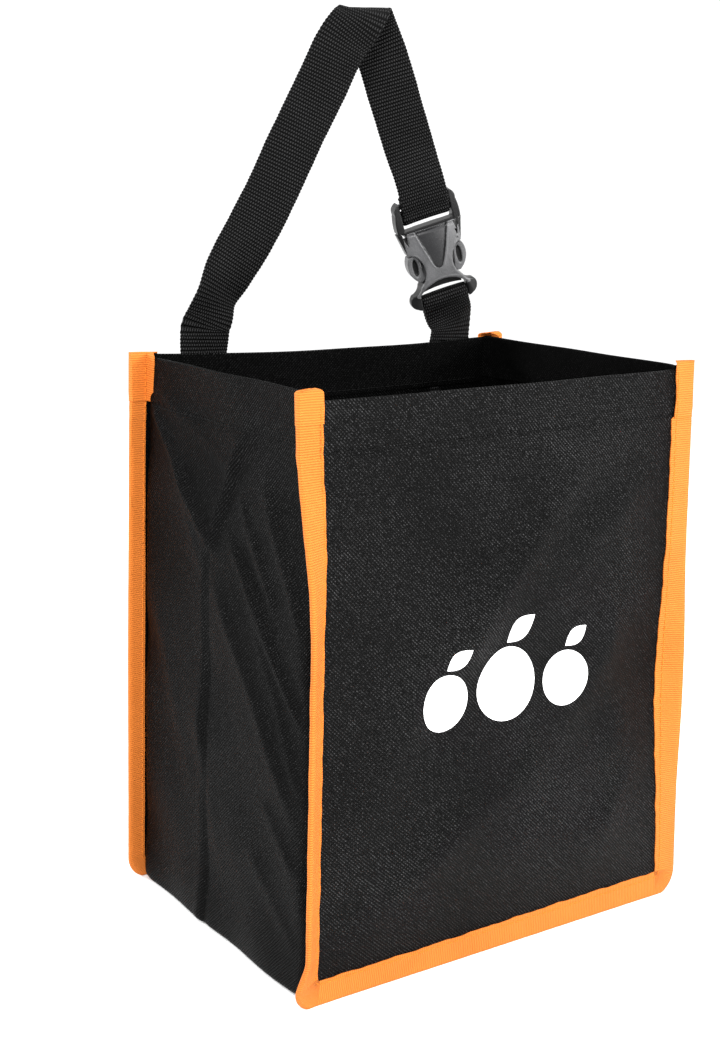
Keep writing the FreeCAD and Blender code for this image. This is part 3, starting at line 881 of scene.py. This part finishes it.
def printed_mark():
    """Plain emblem of three round fruits, each under a leaf."""
    film = 0.12
    middle = (MARK_LOW[0] + MARK_HIGH[0]) / 2.0
    parts = []
    for offset, z, radius in ((-35.0, 124.0, 13.0), (0.0, 127.0, 17.0), (35.0, 124.0, 13.0)):
        x = middle + offset
        stem = (x, z + radius + 2.0)
        tip = (x + radius * 0.95, stem[1] + radius * 0.62)
        for u, v in (disc((x, z), radius), leaf_shape(stem, tip, 0.26)):
            parts.append(shell(panel_point(u, v, -film, True), film, np.stack([u, v], axis=-1)))
    piece = mesh_piece("fruit_mark", *joined(parts), WHITE_PRINT)
    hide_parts("printed_mark")
    return piece


# ---- straps -------------------------------------------------------------
def buckle_axes():
    """Buckle's origin at the socket's mouth, and its three directions."""
    along = unit(np.array(JOINTS["buckle_release"]["axis"], float))
    through_y = -unit(np.array(JOINTS["left_arm_press"]["axis"], float))
    left, right = (np.array(JOINTS[name]["pos_m"]) / MM for name in ("left_arm_press", "right_arm_press"))
    origin = (left + right) / 2.0 + along * HINGE_DEPTH
    return origin, np.cross(through_y, along), through_y, along


ORIGIN, ACROSS, THROUGH, ALONG = buckle_axes()


def in_buckle(x, y, z):
    return ORIGIN + ACROSS * x + THROUGH * y + ALONG * z


def from_buckle(local):
    return ORIGIN + local @ np.stack([ACROSS, THROUGH, ALONG])


def standing(route):
    """Untilted stations from (x, y, rise above the bag, heading)."""
    return [(x, y, HEIGHT + rise, turn, 0.0) for x, y, rise, turn in route]


BUCKLE_TURN = math.degrees(math.atan2(ACROSS[1], ACROSS[0]))


def round_buckle(turn, base=0.0):
    """Stations in the buckle's middle plane, from (through, along)."""
    return [(*in_buckle(0.0, y, base + z), BUCKLE_TURN, 1.0) for y, z in turn]


def ribbon(stations):
    """Middle line of webbing through (x, y, z, heading, tilt) stations, its
    directions across and outwards, and the length so far.  The across
    direction tilts to the buckle's own where tilt is 1."""
    path, run = through(stations, WEB_STEP)
    centre, turn, tilt = path[:, :3], np.radians(path[:, 3]), path[:, 4]
    along = unit(np.gradient(centre, axis=0))
    side = np.stack([np.cos(turn), np.sin(turn), 0.0 * turn], axis=1)
    side = side * (1.0 - tilt[:, None]) + ACROSS * tilt[:, None]
    side = unit(side - along * np.sum(side * along, axis=1, keepdims=True))
    return centre, side, np.cross(along, side), run


def webbing(path, rows=slice(None)):
    """Closed webbing with ribs across and scalloped edges."""
    half_columns = np.array([0.25, 0.5, 0.7, 0.88, 0.95, 0.985, 1.0])
    columns = np.concatenate([-half_columns[::-1], [0.0], half_columns])
    centre, side, face, run = (part[rows] for part in path)
    beat = np.cos(2.0 * math.pi * run / WEB_PITCH)
    half = WEBBING / 2.0 * (1.0 + 0.012 * beat) + 0.12 * waver(run, 4.0)
    grid = centre[:, None] + side[:, None] * (columns[None, :, None] * half[:, None, None])
    cup = 0.35 * (columns**2 - 0.4)
    grid = grid + face[:, None] * cup[None, :, None]
    profile = 1.0 - 0.62 * np.abs(columns) ** 30
    alternate = np.where(np.arange(len(columns)) % 2 == 0, 1.0, 0.72)
    thick = WEB_THICK * profile[None, :] * (1.0 + 0.13 * beat[:, None] * alternate[None, :])
    return shell(grid, thick, grid_map(columns * WEBBING / 2.0, run)[..., ::-1])


def tab_stations(x, depth, rises):
    """Webbing laid on the back panel; rises are below the top edge."""
    places = [panel_point(x, HEIGHT - rise, -depth, False) for rise in rises]
    return [(*p, 0.0, 0.0) for p in places]


def long_strap_stations():
    """From the sewn end up to the fold, down to the plug and round its bars."""
    rising = [
        (LONG_STRAP_X, 73.2, ROOT_RISE, -6), (LONG_STRAP_X + 0.2, 72.9, 10, -8), (-68, 72, 15, -4),
        (-65, 71, 24, 8), (-59, 70, 36, -6), (-48.5, 68, 54, -26), (-38.5, 66.5, 72, -33),
        (-26, 64, 98, -35), (-13, 61, 124, -35), (-3.5, 58, 144, -35),
    ]
    fold = [
        (5, 55.5, 156, -35), (7.6, 56.6, 158.8, -35), (9.5, 58.5, 159.9, -35),
        (11.6, 60.8, 158.8, -35), (14.5, 62.3, 155, -35),
    ]
    falling = [(23, 63, 140, -35), (33, 63.5, 117, -32), (42.5, 64.5, 96, -26)]
    round_bars = [
        (-4.6, 21.5), (-4.5, 14.0), (-3.1, 9.2), (-2.8, 6.4), (-1.6, 4.7), (0.0, 4.2), (1.6, 4.7),
        (2.8, 6.6), (2.4, 8.9), (0.2, 10.3), (-2.2, 11.6), (-2.6, 13.8), (-2.5, 18.8),
    ]
    tab = tab_stations(LONG_STRAP_X, WEB_THICK / 2 + 0.2, (TAB_LENGTH, 28, 20, 12, 5))
    return tab + standing(rising + fold + falling) + round_buckle(round_bars)


def long_strap():
    """Two pieces that meet at the soft crease above the fold line."""
    path = ribbon(long_strap_stations())
    crease = int(np.argmax(path[0][:, 2] > HEIGHT + CREASE_RISE))
    lower = mesh_piece("long_strap_end", *webbing(path, slice(0, crease + 1)), BLACK_WEBBING)
    upper = mesh_piece("long_strap_loop", *webbing(path, slice(crease, None)), BLACK_WEBBING)
    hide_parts("long_strap_tab")
    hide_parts("long_strap")
    return lower, upper


def short_strap():
    """Doubled webbing looped round the socket's bar."""
    half_loop = [(1.6, -5.0), (2.5, -1.2), (2.3, 1.2), (1.3, 2.5)]
    loop = [(-y, z) for y, z in half_loop] + [(0.0, 2.8)] + half_loop[::-1]
    layer = WEB_THICK / 2.0 + 0.06
    inner = tab_stations(SHORT_STRAP_X, layer + 0.15, (TAB_LENGTH - 1, 28, 20, 12, 5))
    outer = tab_stations(SHORT_STRAP_X, 3 * layer + 0.2, (5, 12, 20, 28, TAB_LENGTH))
    root_y = 73.5
    up, down = standing([(SHORT_STRAP_X, root_y + way * layer, ROOT_RISE, 0.0) for way in (-1, 1)])
    path = ribbon(inner + [up] + round_buckle(loop, SOCKET_BAR) + [down] + outer)
    piece = mesh_piece("short_strap_web", *webbing(path), BLACK_WEBBING)
    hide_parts("short_strap_tab", "short_strap")
    return piece


def tab_stitching(name, x, layers, node):
    """Box of stitches with a cross, on the sewn end's outer face."""
    half = WEBBING / 2.0 - 3.0
    low = HEIGHT - TAB_LENGTH + 3.0
    high = low + 2.0 * half
    corners = [(x - half, low), (x + half, low), (x + half, high), (x - half, high)]
    pairs = [(0, 1), (1, 2), (2, 3), (3, 0), (0, 2), (1, 3)]
    depth = -(layers * (WEB_THICK + 0.12) + 0.35)
    t = np.linspace(0.0, 1.0, 40)
    lines = []
    for first, second in pairs:
        (ua, va), (ub, vb) = corners[first], corners[second]
        lines.append(panel_point(ua + (ub - ua) * t, va + (vb - va) * t, depth, False))
    return thread_piece(name, lines, (2.9, 2.3, 0.26), BLACK_THREAD, node)


def buckle_stitching(name, y, z, node):
    """Row of stitches across the webbing, in the buckle's frame."""
    line = np.array([in_buckle(x, y, z) for x in np.linspace(-10.5, 10.5, 30)])
    return thread_piece(name, [line], (2.6, 2.1, 0.26), BLACK_THREAD, node)


# ---- buckle -------------------------------------------------------------
def to_buckle(points):
    local = points / MM - ORIGIN
    return np.stack([local @ ACROSS, local @ THROUGH, local @ ALONG], axis=1)


def moulded(name, node, voxel, finishes):
    """The CAD part's shape with soft moulded edges, as a new mesh."""
    piece = placed(name, frame["nodes"][node].data.copy())
    piece.data.materials.clear()
    remesh = piece.modifiers.new("voxels", "REMESH")
    remesh.mode = "VOXEL"
    remesh.voxel_size = voxel * MM
    relax = piece.modifiers.new("relax", "SMOOTH")
    relax.factor = 0.5
    relax.iterations = 3
    graph = bpy.context.evaluated_depsgraph_get()
    mesh = bpy.data.meshes.new_from_object(piece.evaluated_get(graph))
    piece.modifiers.clear()
    piece.data = mesh
    mesh.name = name
    mesh.materials.clear()
    for finish in finishes:
        mesh.materials.append(finish)
    mesh.polygons.foreach_set("use_smooth", np.ones(len(mesh.polygons), bool))
    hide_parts(node)
    return piece


def sculpt(piece, change):
    """Moves a mesh's points by a function of their place in the buckle."""
    mesh = piece.data
    moved = from_buckle(change(to_buckle(read(mesh.vertices, "co").astype(float))))
    mesh.vertices.foreach_set("co", (moved * MM).astype(np.float32).ravel())
    mesh.update()


def finish_faces(piece, choose):
    """Gives each face the finish that choose picks by its place."""
    mesh = piece.data
    local = to_buckle(read(mesh.polygons, "center").astype(float))
    mesh.polygons.foreach_set("material_index", choose(local).astype(np.int32))
    mesh.update()


def scoop_half(z):
    """Half width of the scoop on the socket's face."""
    return np.interp(z, [-22.6, -21.6, -19.5, -10.0, 0.5], [0.0, 1.9, 3.0, 6.3, 9.3])


def socket_finish(p):
    """Glossy scoop, matte faces; feet, scoop walls and inner walls take the dark finish as painted shade.
    """
    x, y, z = np.abs(p[:, 0]), p[:, 1], p[:, 2]
    scoop = (y < -2.5) & (x < scoop_half(z) - 1.0) & (z > -21.6)
    scoop_wall = (y < -2.5) & (x < scoop_half(z) - 0.1) & (z > -22.4)
    feet = (z < -36.5 + 0.25 * np.abs(x - 11.0)) & (x > 9.0)
    return np.where(scoop, 1, np.where(scoop_wall | feet | (np.abs(y) < 3.0), 2, 0))


def socket():
    """Socket with a raised rim, lips round its windows and a scoop's edge."""
    piece = moulded("buckle_socket_shell", "buckle_socket", 0.36, (PLASTIC, GLOSS, PLUG_PLASTIC_AND_SHADE))

    def change(p):
        x, y, z = p.T
        face = smooth((np.abs(y) - 3.6) / 0.8)
        rim = bump(z, -0.2, 0.4) * 0.15 - bump(z, -1.5, 0.5) * 0.45
        window = np.abs(np.hypot(np.abs(x) - 14.6, (z + 21.4) / 1.75) - 5.6)
        lip = 0.35 * bump(window, 0.0, 0.8) * (z < -12.0) * (z > -31.0)
        arch = 0.3 * bump(np.hypot(x / 1.45, z + 38.5), 10.3, 0.7) * (z > -37.0)
        scoop_edge = 0.18 * bump(np.abs(x) - scoop_half(z) - 0.5, 0.0, 0.5) * (z > -22.0)
        p[:, 1] = y + np.sign(y) * face * (rim + lip + arch + scoop_edge)
        return p

    sculpt(piece, change)
    finish_faces(piece, socket_finish)
    return piece


def slot_plate():
    """Web at the back of the recess above the slot, dark with painted shade of the recess."""
    half_width, thick = 11.5, 1.4
    x = spread(-half_width, half_width, 0.4)[None, :]
    rise = spread(0.0, 1.0, 0.1)[:, None]
    low = -35.4 + 1.2 * (1.0 - (x / half_width) ** 2)
    high = -27.6 - 0.02 * x**2
    z = low + (high - low) * rise
    local = np.stack(np.broadcast_arrays(x, 2.3 + 0.6 * rise, z), axis=-1)
    skin = shell(from_buckle(local), thick, local[..., [0, 2]])
    piece = mesh_piece("buckle_slot_web", *skin, PLUG_PLASTIC_AND_SHADE)
    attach(piece, "strap")


def plug():
    return moulded("buckle_plug_body", "buckle_plug", 0.36, (PLUG_PLASTIC_AND_SHADE,))


def latch_arm(name, node, side):
    """Latch arm with a hollow in each face of its head."""
    piece = moulded(name, node, 0.24, (PLASTIC, PLUG_PLASTIC_AND_SHADE))

    def off_centre(p):
        return np.hypot((side * p[:, 0] - 12.1) / 1.35, (p[:, 2] + 19.4) / 4.4)

    def change(p):
        y = p[:, 1]
        hollow = 1.5 * smooth((1.25 - off_centre(p)) / 0.5)
        p[:, 1] = y - np.sign(y) * hollow * smooth((np.abs(y) - 1.6) / 0.8)
        return p

    sculpt(piece, change)
    # The hollows take the dark finish: painted shade.
    finish_faces(piece, lambda p: off_centre(p) < 1.05)
    return piece


# ---- stage --------------------------------------------------------------
def floor():
    """Wide pale floor, a hair under the bag."""
    half, steps, drop = 6.0 / MM, 9, 0.05
    line = np.linspace(-half, half, steps)
    x, y = np.meshgrid(line, line, indexing="ij")
    points = np.stack([x, y, 0.0 * x - drop], axis=-1).reshape(-1, 3)
    faces = quads(steps, steps)[:, ::-1]
    mesh_piece("studio_floor", points, faces, points[:, :2], floor_material())


def softbox(name, place, target, size, power):
    """Rectangular area light that faces the target."""
    light = bpy.data.lights.new(name, "AREA")
    light.shape = "RECTANGLE"
    light.size, light.size_y = size
    light.energy = power
    lamp = placed(name, light)
    lamp.location = place
    lamp.rotation_mode = "QUATERNION"
    lamp.rotation_quaternion = (Vector(target) - Vector(place)).to_track_quat("-Z", "Y")


def lighting():
    """White surroundings, and small close lights that show the folds."""
    world = bpy.data.worlds.new("studio")
    world.use_nodes = True
    background = world.node_tree.nodes["Background"]
    background.inputs["Color"].default_value = (1.0, 1.0, 1.0, 1.0)
    background.inputs["Strength"].default_value = 1.12
    bpy.context.scene.world = world
    bpy.context.scene.view_settings.view_transform = "Standard"
    middle = (0.0, 0.0, 0.16)
    softbox("key", (0.42, -0.62, 0.9), middle, (0.35, 0.35), 2.5)
    softbox("left", (-0.75, -0.75, 0.8), middle, (0.3, 0.45), 16.0)
    softbox("front_sheen", (0.75, -1.05, 0.55), middle, (0.35, 0.25), 19.0)
    softbox("side_sheen", (-1.0, 0.95, 0.75), middle, (0.35, 0.3), 15.0)
    softbox("top", (0.1, 0.5, 1.7), middle, (1.0, 1.0), 6.0)


def camera():
    """The photo's view, from the left and a little above."""
    azimuth, elevation, roll = (math.radians(angle) for angle in (-35.3, 12.7, 1.06))
    distance = 0.774
    target = Vector((-0.029, 0.0, 0.1853))
    level = math.cos(elevation)
    back = Vector((math.sin(azimuth) * level, -math.cos(azimuth) * level, math.sin(elevation)))
    right = Vector((0, 0, 1)).cross(back).normalized()
    up = back.cross(right)
    across = right * math.cos(roll) + up * math.sin(roll)
    above = up * math.cos(roll) - right * math.sin(roll)
    data = bpy.data.cameras.new("camera")
    data.sensor_width = 36.0
    data.lens = 56.2946
    data.clip_start, data.clip_end = 0.01, 50.0
    view = placed("camera", data)
    turn = Matrix((across, above, back)).transposed()
    view.matrix_world = Matrix.Translation(target + back * distance) @ turn.to_4x4()
    bpy.context.scene.camera = view


# ---- build --------------------------------------------------------------
def build_bag():
    front = panel("front_cloth", True)
    back = panel("back_cloth", False)
    strip = gusset()
    pieces = [
        (front, "cloth"),
        (back, "cloth"),
        (strip, "cloth"),
        (binding("front_tape", True, "front_binding"), "binding_tape"),
        (binding("back_tape", False, "back_binding"), "binding_tape"),
        (binding_stitching("front_tape_stitches", True, "front_binding_stitching"), "orange_thread"),
        (binding_stitching("back_tape_stitches", False, "back_binding_stitching"), "orange_thread"),
        (hem_stitching("front_hem_stitches", True, "front_hem_stitching"), "black_thread"),
        (hem_stitching("back_hem_stitches", False, "back_hem_stitching"), "black_thread"),
        (side_hem_stitching("left_hem_stitches", -1, strip, "left_hem_stitching"), "black_thread"),
        (side_hem_stitching("right_hem_stitches", 1, strip, "right_hem_stitching"), "black_thread"),
        (printed_mark(), "white_print"),
        (tab_stitching("long_strap_stitches", LONG_STRAP_X, 1, "long_strap_stitching"), "black_thread"),
        (tab_stitching("short_strap_stitches", SHORT_STRAP_X, 2, "short_strap_stitching"), "black_thread"),
    ]
    for piece, slot in pieces:
        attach(piece, "bag")


def build_straps():
    lower, upper = long_strap()
    short = short_strap()
    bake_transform(lower)
    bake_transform(short)
    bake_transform(upper)
    loop_row = buckle_stitching("loop_stitches", -3.35, -44.0, "loop_stitching")
    tail_row = buckle_stitching("tail_stitches", -1.75, 16.4, "tail_stitching")
    for piece, body in ((loop_row, "strap"), (tail_row, "plug")):
        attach(piece, body)


def build_buckle():
    pieces = [
        (socket(), "strap"),
        (plug(), "plug"),
        (latch_arm("left_latch", "left_latch_arm", -1), "left_arm"),
        (latch_arm("right_latch", "right_latch_arm", 1), "right_arm"),
    ]
    for piece, body in pieces:
        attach(piece, body)
    slot_plate()


build_bag()
build_straps()
build_buckle()
floor()
lighting()
camera()

bpy.context.view_layer.update()
